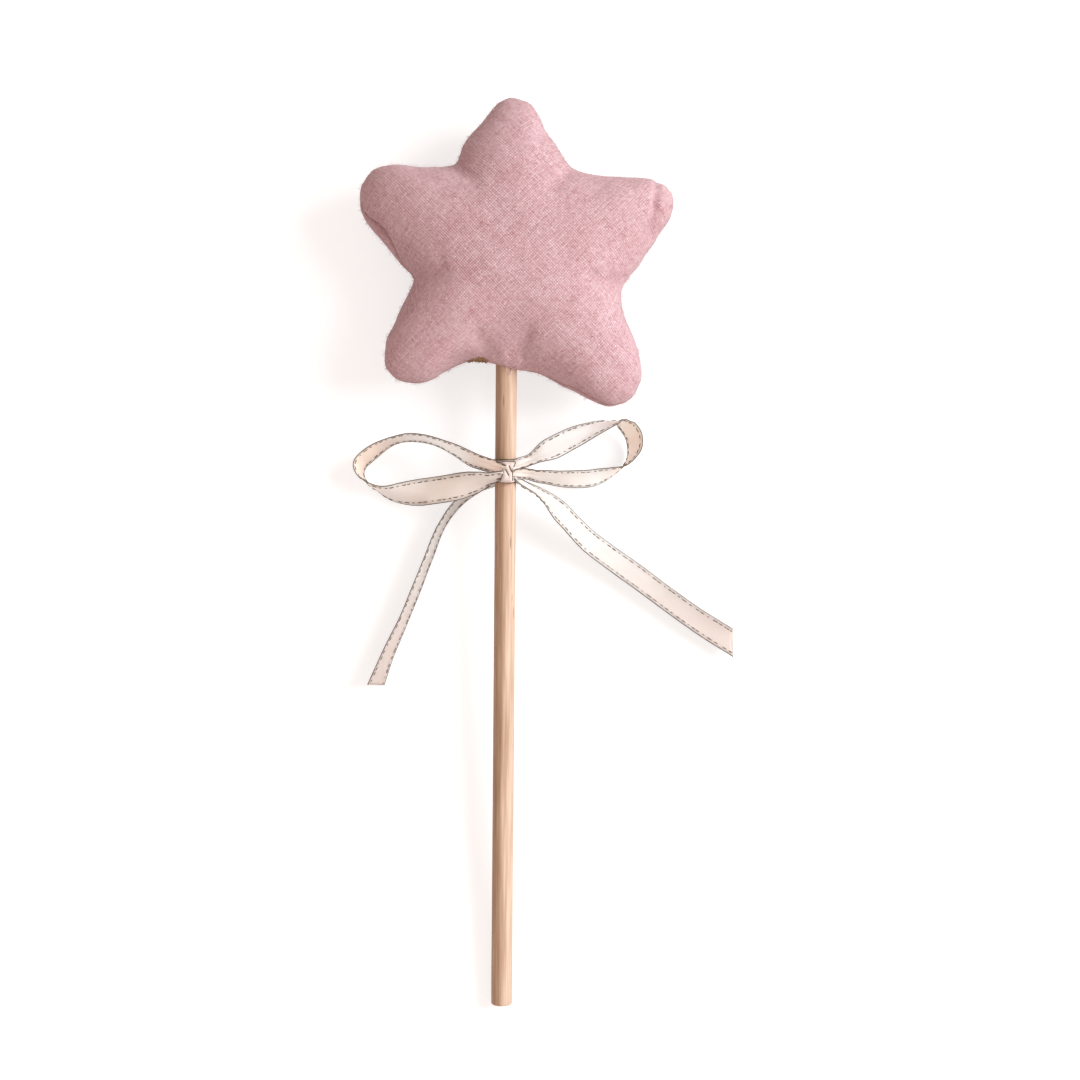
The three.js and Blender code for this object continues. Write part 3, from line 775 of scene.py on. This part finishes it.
# Knot: the ribbon folded into a narrow band that is drawn tight over the middle of the bow.
# Each fold has a gold edge in it and goes from one place on the band to another, across and along.
KNOT_FOLDS = [
    ((-0.90, 0.62), (0.25, -0.30)),
    ((0.10, 0.55), (0.70, 0.05)),
    ((-0.94, 0.20), (-0.90, -0.80)),
    ((0.90, 0.86), (0.84, -0.76)),
    ((-0.85, 0.93), (0.80, 0.90)),
    ((-0.97, -0.94), (0.97, -0.94)),
]


def fold(u, v, start, end):
    """1 on the line from start to end, fading to 0 beside it."""
    along = end - start
    share = np.clip(((u - start[0]) * along[0] + (v - start[1]) * along[1]) / (along @ along), 0, 1)
    aside = np.hypot(u - start[0] - share * along[0], v - start[1] - share * along[1])
    return np.exp(-((aside / 0.13) ** 2))


def knot():
    rows = 37
    columns = 33
    u = np.linspace(-1, 1, columns)[None]
    v = np.linspace(-1, 1, rows)[:, None]
    x = u * (2.1 + 1.0 * np.abs(v) ** 2) + 0.4 * v + 0.9
    base = DOWEL_RADIUS + FIT_GAP + WRAP_THICKNESS
    rise = (1 - np.abs(v) ** 2.8) ** 0.55
    creases = np.zeros((rows, columns))
    for start, end in KNOT_FOLDS:
        creases = np.maximum(creases, fold(u, v, np.array(start), np.array(end)))
    crown = 0.3 * np.cos(1.2 * u) - 1.3 * np.abs(u) ** 4 - 0.6 * creases
    z = base + KNOT_HEIGHT * rise * 1.05 + crown - 0.1
    z = np.maximum(z, np.sqrt(np.maximum(base**2 - x**2, 4.0)) - 0.4)
    y = v * KNOT_LENGTH / 2 * (1 - 0.05 * u**2) - BOW_DISTANCE - 0.15
    top = np.stack([np.broadcast_to(a, z.shape) for a in (x, y, z)], axis=-1)
    under = top.copy()
    under[..., 2] = np.minimum(top[..., 2] - 0.3, base - 1.2)
    rings = np.concatenate([top, under[:, ::-1]], axis=1)
    sides = 2 * columns
    faces = [face[::-1] for face in capped(ring_faces(rows, sides), rows, sides)]
    piece = mesh_object("bow_knot_folded", on_dowel(rings.reshape(-1, 3)), faces, [satin_knot])
    flat = np.empty((rows, sides, 2))
    flat[..., 0] = v * KNOT_LENGTH / 2
    flat[..., 1] = np.concatenate([u[0], u[0, ::-1]]) * KNOT_WIDTH / 2
    write_uv(piece.data, flat.reshape(-1, 2))
    trims = []
    for start, end in KNOT_FOLDS:
        share = np.linspace(0, 1, 16)[:, None]
        place = np.array(start) + (np.array(end) - start) * share
        column, row = ((place + 1) / 2 * (columns - 1, rows - 1)).T
        left = np.minimum(column.astype(int), columns - 2)
        low = np.minimum(row.astype(int), rows - 2)
        a, b = (column - left)[:, None], (row - low)[:, None]
        first = top[low, left] * (1 - a) + top[low, left + 1] * a
        second = top[low + 1, left] * (1 - a) + top[low + 1, left + 1] * a
        line = first * (1 - b) + second * b
        line[:, 2] += 0.1
        trims.append(tube(on_dowel(line), YARN_RADIUS))
    edge = mesh_object("bow_knot_edges", *joined(trims), [gold_yarn])
    for made in (piece, edge):
        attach(made, "wand")
    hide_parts("bow_knot")


knot()


# Star outline with rounded corners, as points about one step apart
def star_outline(step):
    count = len(STAR_CORNERS)
    arcs = []
    for i, (x, y, radius, tip) in enumerate(STAR_CORNERS):
        at = np.array([x, y])
        back = unit(np.array(STAR_CORNERS[i - 1][:2]) - at)
        ahead = unit(np.array(STAR_CORNERS[(i + 1) % count][:2]) - at)
        half = math.acos(back @ ahead) / 2
        centre = at + unit(back + ahead) * radius / math.sin(half)
        toward = math.atan2(*(at - centre)[::-1])
        turn = (math.pi / 2 - half) * (1 if tip else -1)
        angles = np.linspace(toward - turn, toward + turn, max(3, int(abs(2 * turn) * radius / step)))
        arcs.append(centre + radius * np.stack([np.cos(angles), np.sin(angles)], axis=1))
    points = []
    for i, arc in enumerate(arcs):
        points.append(arc)
        start, end = arc[-1], arcs[(i + 1) % count][0]
        steps = max(2, int(np.linalg.norm(end - start) / step))
        points.append(start + (end - start) * (np.arange(1, steps) / steps)[:, None])
    return np.concatenate(points)


# Sewn star before stuffing settles: both panels on one outline, a little flatter than the stuffed star
BLANK_HALF = STAR_HALF * 0.95
BLANK_RINGS = 16


def star_blank():
    outline = star_outline(2.0)
    crown = np.array(STAR_CROWN)
    out = outline - crown
    distance = np.linalg.norm(out, axis=1)
    round_reach = distance.min()
    rings = []
    for k in range(1, BLANK_RINGS + 1):
        angle = math.pi / 2 * k / BLANK_RINGS
        share = math.sin(angle) ** (2 / CROWN_POWER)
        rise = 0.0 if k == BLANK_RINGS else math.cos(angle) ** (2 / CROWN_POWER)
        reach = round_reach + (distance - round_reach) * share
        ring = crown + out / distance[:, None] * (share * reach)[:, None]
        rings.append(np.column_stack([ring, np.full(len(ring), BLANK_HALF * rise)]))
    lower = [ring * (1, 1, -1) for ring in rings[-2::-1]]
    sides = len(outline)
    points = np.concatenate([*rings, *lower])
    faces = ring_faces(len(rings) + len(lower), sides)
    top, bottom = len(points), len(points) + 1
    points = np.concatenate([points, [[*crown, BLANK_HALF], [*crown, -BLANK_HALF]]])
    last = (len(rings) + len(lower) - 1) * sides
    faces += [(j, (j + 1) % sides, top) for j in range(sides)]
    faces += [(last + (j + 1) % sides, last + j, bottom) for j in range(sides)]
    points[:, 2] += STAR_LEVEL
    return mesh_object("star_cover", points, faces, [fabric])


def remesh(piece, voxel):
    modifier = piece.modifiers.new("remesh", "REMESH")
    modifier.mode = "VOXEL"
    modifier.voxel_size = voxel * MM
    modifier.use_smooth_shade = True
    bake_modifiers(piece)


CLOTH_PRESSURE = 4.0
CLOTH_STEPS = 20
CLOTH_CAP = 3.0
SEAM_HELD = 1.3


def stuff(piece, pinned):
    """Cloth under pressure, with its seam held and no point moved by more than the cap."""
    before = coordinates(piece.data)
    group = piece.vertex_groups.new(name="seam_line")
    group.add(np.flatnonzero(pinned).tolist(), 1.0, "REPLACE")
    modifier = piece.modifiers.new("cloth", "CLOTH")
    settings = modifier.settings
    settings.quality = 6
    settings.mass = 0.25
    settings.tension_stiffness = 15
    settings.compression_stiffness = 15
    settings.shear_stiffness = 5
    settings.bending_stiffness = 0.3
    settings.use_pressure = True
    settings.uniform_pressure_force = CLOTH_PRESSURE
    settings.vertex_group_mass = "seam_line"
    settings.effector_weights.gravity = 0
    modifier.collision_settings.use_collision = False
    modifier.point_cache.frame_start = 1
    modifier.point_cache.frame_end = CLOTH_STEPS
    for step in range(1, CLOTH_STEPS + 1):
        scene.frame_set(step)
    graph = bpy.context.evaluated_depsgraph_get()
    after = coordinates(piece.evaluated_get(graph).data)
    piece.modifiers.clear()
    piece.vertex_groups.clear()
    scene.frame_set(1)
    moved = after - before
    far = np.linalg.norm(moved, axis=1)
    share = np.minimum(1, CLOTH_CAP / np.maximum(far, 1e-9))
    set_coordinates(piece.data, before + moved * share[:, None])


def seam_roll(place):
    """How far above the star's level the seam lies, where the cover has rolled on its stuffing."""
    left = 8.0 * np.exp(-(((place[:, 0] + 48) / 11) ** 2 + ((place[:, 1] - 4) / 15) ** 2))
    lower = 4.0 * np.exp(-(((place[:, 0] - 30) / 16) ** 2 + ((place[:, 1] + 52) / 9) ** 2))
    return left + lower


# Each panel laid flat as it was cut, true to size in its middle, with its threads on the bias
MIDDLE_REACH = 22


def unfold(piece):
    mesh = piece.data
    centres = read(mesh.polygons, "center", 3) / MM
    front = centres[:, 2] > STAR_LEVEL + seam_roll(centres)
    sheet = bmesh.new()
    sheet.from_mesh(mesh)
    for edge in sheet.edges:
        edge.seam = len({bool(front[face.index]) for face in edge.link_faces}) == 2
    sheet.to_mesh(mesh)
    sheet.free()
    mesh.uv_layers.new(name="weave")
    bpy.context.view_layer.objects.active = piece
    bpy.ops.object.mode_set(mode="EDIT")
    bpy.ops.mesh.select_all(action="SELECT")
    bpy.ops.uv.unwrap(method="MINIMUM_STRETCH")
    bpy.ops.object.mode_set(mode="OBJECT")

    layer = mesh.uv_layers["weave"].data
    flat = read(layer, "uv", 2)
    flat = flat[:, 0] + 1j * flat[:, 1]
    points = coordinates(mesh)[read(mesh.loops, "vertex_index", kind=int)]
    place = points[:, 0] + 1j * points[:, 1]
    middle = np.hypot(points[:, 0] - STAR_CROWN[0], points[:, 1] - STAR_CROWN[1]) < MIDDLE_REACH
    on_front = np.repeat(front, [face.loop_total for face in mesh.polygons])
    for side in (on_front, ~on_front):
        laid = flat[side] if side is on_front else flat[side].conj()
        known = middle[side]
        base, target = laid[known].mean(), place[side][known].mean()
        away = laid[known] - base
        scale = (away.conj() * (place[side][known] - target)).sum() / (np.abs(away) ** 2).sum()
        flat[side] = (scale * (laid - base) + target) * np.exp(1j * math.pi / 4)
    layer.foreach_set("uv", (np.column_stack([flat.real, flat.imag]) * MM).ravel())


def star_cover():
    piece = star_blank()
    remesh(piece, 2.2)
    dress(piece, fabric)
    stuff(piece, np.abs(coordinates(piece.data)[:, 2] - STAR_LEVEL) < SEAM_HELD)
    unfold(piece)
    piece.modifiers.new("finer", "SUBSURF").levels = 1
    bake_modifiers(piece)
    shape_cover(piece)
    return piece


# Creases on the front: from, to, width and depth
CREASES = [
    ((55.8, 27.0), (55.4, 12.0), 1.3, 1.3),
    ((55.8, 19.0), (53.4, 3.0), 1.3, 1.5),
    ((-6.5, 47.4), (4.6, 45.4), 0.9, 0.6),
    ((-21.0, 30.0), (-10.0, 22.0), 3.0, 0.7),
    ((25.0, 29.0), (15.0, 20.0), 3.0, 0.6),
    ((-34.0, -13.0), (-22.0, -8.0), 3.0, 0.8),
    ((41.0, -16.5), (30.0, -11.0), 3.0, 0.7),
    ((4.0, -42.0), (9.0, -30.0), 2.6, 0.9),
    ((-6.0, -41.0), (-12.0, -31.0), 2.6, 0.6),
]


# Places on the edge that the stuffing pulls or pushes askew: where, and how far
EDGE_SHIFTS = [
    ((-22.1, 31.5), (2.9, -0.8)),
    ((24.7, 29.8), (-1.4, 0.5)),
    ((-35.4, -13.2), (0.9, 1.9)),
    ((42.3, -16.9), (0.5, 2.6)),
    ((44.5, -22.5), (-0.8, 0.1)),
    ((-8.5, 51.5), (1.2, -1.0)),
    ((-20.0, 34.0), (-0.9, 0.3)),
    ((16.0, 44.6), (-0.8, -0.5)),
    ((35.0, 28.5), (0.0, -0.9)),
    ((-31.3, 31.1), (0.0, -0.9)),
    ((-52.2, 9.0), (-1.0, -0.6)),
    ((-43.1, -46.6), (-1.0, -0.9)),
    ((-19.0, -44.0), (0.2, 1.3)),
    ((48.8, -36.6), (1.2, 0.2)),
]
SHIFT_REACH = 7.0


def crease(points, start, end, width):
    """1 on the line from start to end on the star's front, fading to 0 beside it and beyond its ends."""
    start, end = np.array(start), np.array(end)
    along = end - start
    share = ((points[:, :2] - start) @ along) / (along @ along)
    aside = np.linalg.norm(points[:, :2] - start - np.clip(share, 0, 1)[:, None] * along, axis=1)
    fade = 1 - smoothstep(np.abs(share - 0.5), 0.3, 0.6)
    return np.exp(-((aside / width) ** 2)) * fade * (points[:, 2] > STAR_LEVEL)


# Seam, gathers and puckers, which the stuffing alone doesn't give, and painted shade along the seam groove
SEAM_DEPTH = 0.75
SEAM_WIDTH = 1.1
PUCKER_DEPTH = 0.16
RIM_REACH = 8


def shape_cover(piece):
    mesh = piece.data
    points = coordinates(mesh)
    facing = normals(mesh)
    outline = star_outline(0.5)
    run = distances(outline)
    rim = np.abs(points[:, 2] - STAR_LEVEL) < 14
    nearest = np.zeros(len(points), int)
    gap = np.full(len(points), 99.0)
    index = np.flatnonzero(rim)
    for part in np.array_split(index, max(1, len(index) // 2000)):
        apart = np.linalg.norm(points[part, None, :2] - outline[None], axis=2)
        nearest[part] = apart.argmin(1)
        gap[part] = apart.min(1)
    place = outline[nearest]
    height = points[:, 2] - STAR_LEVEL - seam_roll(place)
    by_rim = gap < RIM_REACH
    near_seam = np.exp(-((height / SEAM_WIDTH) ** 2)) * by_rim
    along = run[nearest]
    pucker = np.sin(along / 1.9 + 2.0 * np.sin(along / 13.0)) * np.exp(-((height / 5.0) ** 2)) * by_rim
    depth = -SEAM_DEPTH * near_seam + PUCKER_DEPTH * pucker
    depth += 0.10 * noise_at(points, 2.6) + 0.22 * noise_at(points, 11.0, 3.0)
    for start, end, width, drop in CREASES:
        depth -= drop * crease(points, start, end, width)
    points = points + facing * depth[:, None]
    for edge, shift in EDGE_SHIFTS:
        apart = np.linalg.norm(points[:, :2] - edge, axis=1)
        points[:, :2] += np.exp(-((apart / SHIFT_REACH) ** 2))[:, None] * shift

    local = to_dowel(points)
    reach = np.hypot(local[:, 0], local[:, 2])
    close = (np.abs(local[:, 1]) < 14) & (reach < 16)
    hug = smoothstep(reach, 13.0, 4.6) * close
    turn = np.arctan2(local[:, 0], local[:, 2])
    lip = 1.9 + 1.2 * np.cos(turn - 0.6)
    local[:, 1] -= lip * hug * smoothstep(-local[:, 1] + 14, 0, 10)
    pleats = 1 + (0.07 + 0.06 * np.cos(9 * turn + 1.2)) * hug
    local[:, [0, 2]] *= pleats[:, None]
    points = on_dowel(local)

    points[:, 2] = np.maximum(points[:, 2], 0.1)
    set_coordinates(mesh, points)
    # Painted shade along the seam groove, which the fabric reads as its seam darkening
    shade = mesh.attributes.new("seam", "FLOAT", "POINT")
    shade.data.foreach_set("value", 0.75 * np.exp(-((height / 0.7) ** 2)) * by_rim)


cover = star_cover()
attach(cover, "wand")
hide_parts("star_front_panel", "star_back_panel")

# Threads that lie on the cover, found by looking outward from inside it
cover_tree = BVHTree.FromPolygons(
    [vertex.co[:] for vertex in cover.data.vertices], [face.vertices[:] for face in cover.data.polygons]
)


def on_cover(start, direction, lift):
    """The cover's surface seen from a point inside it, lifted off by so many millimetres."""
    hit, facing, _, _ = cover_tree.ray_cast(Vector(start) * MM, Vector(direction))
    return (np.array(hit) + np.array(facing) * lift * MM) / MM


# Seam stitches, left out beside the dowel where the star was sewn shut by hand
STITCH_PITCH = 2.9
STITCH_LENGTH = 1.9
STITCH_POINTS = 6


def seam_stitches():
    outline = star_outline(0.5)
    outline = np.concatenate([outline, outline[:1]])
    run = distances(outline)

    def at(spans, period=None):
        return np.column_stack([np.interp(spans, run, line, period=period) for line in outline.T])

    parts = []
    for k in range(int(run[-1] / STITCH_PITCH)):
        spans = k * STITCH_PITCH + np.linspace(0, STITCH_LENGTH, STITCH_POINTS)
        place = at(spans)
        x, y = place[0]
        if -15 < x < 7 and y < -30:
            continue
        along = unit(at(spans + 0.6, run[-1]) - at(spans - 0.6, run[-1]))
        outward = np.column_stack([along[:, 1], -along[:, 0]])
        level = STAR_LEVEL + seam_roll(place)
        lifts = 0.02 + 0.13 * np.sin(np.linspace(0, math.pi, STITCH_POINTS))
        line = [
            on_cover((*(p - 5 * n), z), (*n, 0), lift)
            for p, n, z, lift in zip(place, outward, level, lifts)
        ]
        parts.append(tube(line, 0.2, sides=5))
    piece = mesh_object("seam_stitches", *joined(parts), [pink_thread])
    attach(piece, "wand")
    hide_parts("seam_thread")


# Closing stitches: whip stitches over the seam, each from below it to its own height on the front. Their
# dark tan stands in for the shadow in the gap beside the dowel: real stitches, painted shadow
WHIP_STITCHES = 7
WHIP_POINTS = 12


def closing_stitches():
    parts = []
    for k in range(WHIP_STITCHES):
        x = -8.2 - 1.0 * k + 0.2 * math.sin(5.0 * k)
        top = math.radians(46 - 4 * abs(k - 2.2) + 6 * math.sin(3.0 * k))
        turns = np.linspace(math.radians(-40), top, WHIP_POINTS)
        lifts = 0.05 + 0.3 * np.sin(np.linspace(0, math.pi, WHIP_POINTS)) ** 0.5
        slant = 1.1 * np.arange(WHIP_POINTS) / (WHIP_POINTS - 1)
        line = [
            on_cover((x + aside, -35.5, STAR_LEVEL), (0.0, -math.cos(turn), math.sin(turn)), lift)
            for aside, turn, lift in zip(slant, turns, lifts)
        ]
        parts.append(tube(line, 0.4, sides=8))
    piece = mesh_object("closing_whip_stitches", *joined(parts), [tan_thread])
    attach(piece, "wand")
    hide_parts("closing_stitches")


# Loose thread ends at the neck: where round the dowel, and how far down it
THREAD_ENDS = ((-20, 4.2), (35, 5.0), (62, 3.4), (150, 3.0))


def thread_ends():
    parts = []
    steps = np.linspace(0, 1, 8)
    for k, (turn, reach) in enumerate(THREAD_ENDS):
        radius = 4.25 + 0.9 * steps**2 + 0.2 * np.sin(6 * steps + k)
        angle = math.radians(turn) + 0.35 * steps * (-1) ** k
        line = np.column_stack([radius * np.sin(angle), 0.5 - reach * steps, radius * np.cos(angle)])
        parts.append(tube(on_dowel(line), 0.12, sides=5))
    piece = mesh_object("neck_thread_ends", *joined(parts), [pink_thread])
    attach(piece, "wand")


# Fuzz: short fibres that stand off the brushed fabric, but not where it rests on the table
FIBRES = 4500
TABLE_GAP = 2.0


def fuzz():
    draw = np.random.default_rng(11)
    points = coordinates(cover.data)
    facing = normals(cover.data)
    steps = np.array([0, 0.4, 0.75, 1.0])
    parts = []
    for i in draw.choice(len(points), FIBRES, replace=False):
        aside = unit(np.cross(facing[i], draw.normal(size=3)))
        length = draw.uniform(0.6, 1.7)
        if points[i, 2] < TABLE_GAP:
            continue
        bend = 0.75 * steps[:, None] * facing[i] + 0.8 * steps[:, None] ** 2 * aside
        parts.append(tube(points[i] + length * bend, 0.05, sides=3))
    piece = mesh_object("fabric_fuzz", *joined(parts), [fuzz_fibre])
    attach(piece, "wand")


seam_stitches()
closing_stitches()
thread_ends()
fuzz()

# Pieces that keep their CAD shape
for name, material in (
    ("glue_collar", glue),
    ("capsule_front", plastic),
    ("capsule_back", plastic),
    *((f"pellet_{k}", steel) for k in range(1, 7)),
):
    dress(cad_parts[name], material)


# Stuffing: matted fibre wads, lumpy all over
def wad(node):
    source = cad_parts[node]
    piece = bpy.data.objects.new(node + "_wad", source.data.copy())
    piece.matrix_world = source.matrix_world
    scene.collection.objects.link(piece)
    remesh(piece, 2.5)
    points = coordinates(piece.data)
    lumps = 0.5 * noise_at(points, 9.0, 7.0) + 0.35 * noise_at(points, 3.5, 1.0) - 0.5
    set_coordinates(piece.data, points + normals(piece.data) * np.minimum(lumps, 0)[:, None])
    dress(piece, fibre)
    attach(piece, "wand")
    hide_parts(node)


wad("stuffing_front")
wad("stuffing_back")


# Floor, soft light from the right and a plain bright surround
def floor():
    material, tree, surface = new_material("floor", (0.52, 0.52, 0.52), 0.9)
    path = add(tree, "ShaderNodeLightPath").outputs
    mirrored = maths(tree, "MAXIMUM", path["Is Glossy Ray"], path["Is Transmission Ray"])
    seen = maths(tree, "MAXIMUM", path["Is Camera Ray"], mirrored)
    away = add(tree, "ShaderNodeVectorMath", {0: object_place(tree)}, operation="LENGTH").outputs["Value"]
    spread = {"Value": away, "From Min": 0.5, "From Max": 1.2, "To Min": 0.67, "To Max": 1.0}
    glow = maths(tree, "MULTIPLY", seen, add(tree, "ShaderNodeMapRange", spread).outputs["Result"])
    set_inputs(tree, surface, {"Emission Color": (1, 1, 1, 1), "Emission Strength": glow})
    edge = 4000.0
    points = [(-edge, -edge, 0), (edge, -edge, 0), (edge, edge, 0), (-edge, edge, 0)]
    mesh_object("floor", points, [(0, 1, 2, 3)], [material], smooth=False)


def area_light(name, place, target, size, power, colour):
    data = bpy.data.lights.new(name, "AREA")
    data.size = size
    data.energy = power
    data.color = colour
    lamp = bpy.data.objects.new(name, data)
    lamp.location = place
    lamp.rotation_euler = (Vector(target) - Vector(place)).to_track_quat("-Z", "Y").to_euler()
    scene.collection.objects.link(lamp)


def surround():
    """A warm world, which the camera sees as white."""
    world = bpy.data.worlds.new("surround")
    world.use_nodes = True
    tree = world.node_tree
    seen = add(tree, "ShaderNodeLightPath").outputs["Is Camera Ray"]
    tone = mix_colours(tree, seen, (1, 0.81, 0.725, 1), (1, 1, 1, 1))
    strength = maths(tree, "ADD", maths(tree, "MULTIPLY", seen, 0.46), 0.54)
    set_inputs(tree, tree.nodes["Background"], {"Color": tone, "Strength": strength})
    scene.world = world


floor()
area_light("key", (1.0, 0.22, 0.75), (0, -0.1, 0.02), 0.7, 16.8, (0.96, 1.0, 1.0))
area_light("fill", (-0.3, -1.0, 0.5), (0, -0.1, 0.02), 0.9, 2.0, (1.0, 0.84, 0.76))
surround()
scene.view_settings.view_transform = "Standard"
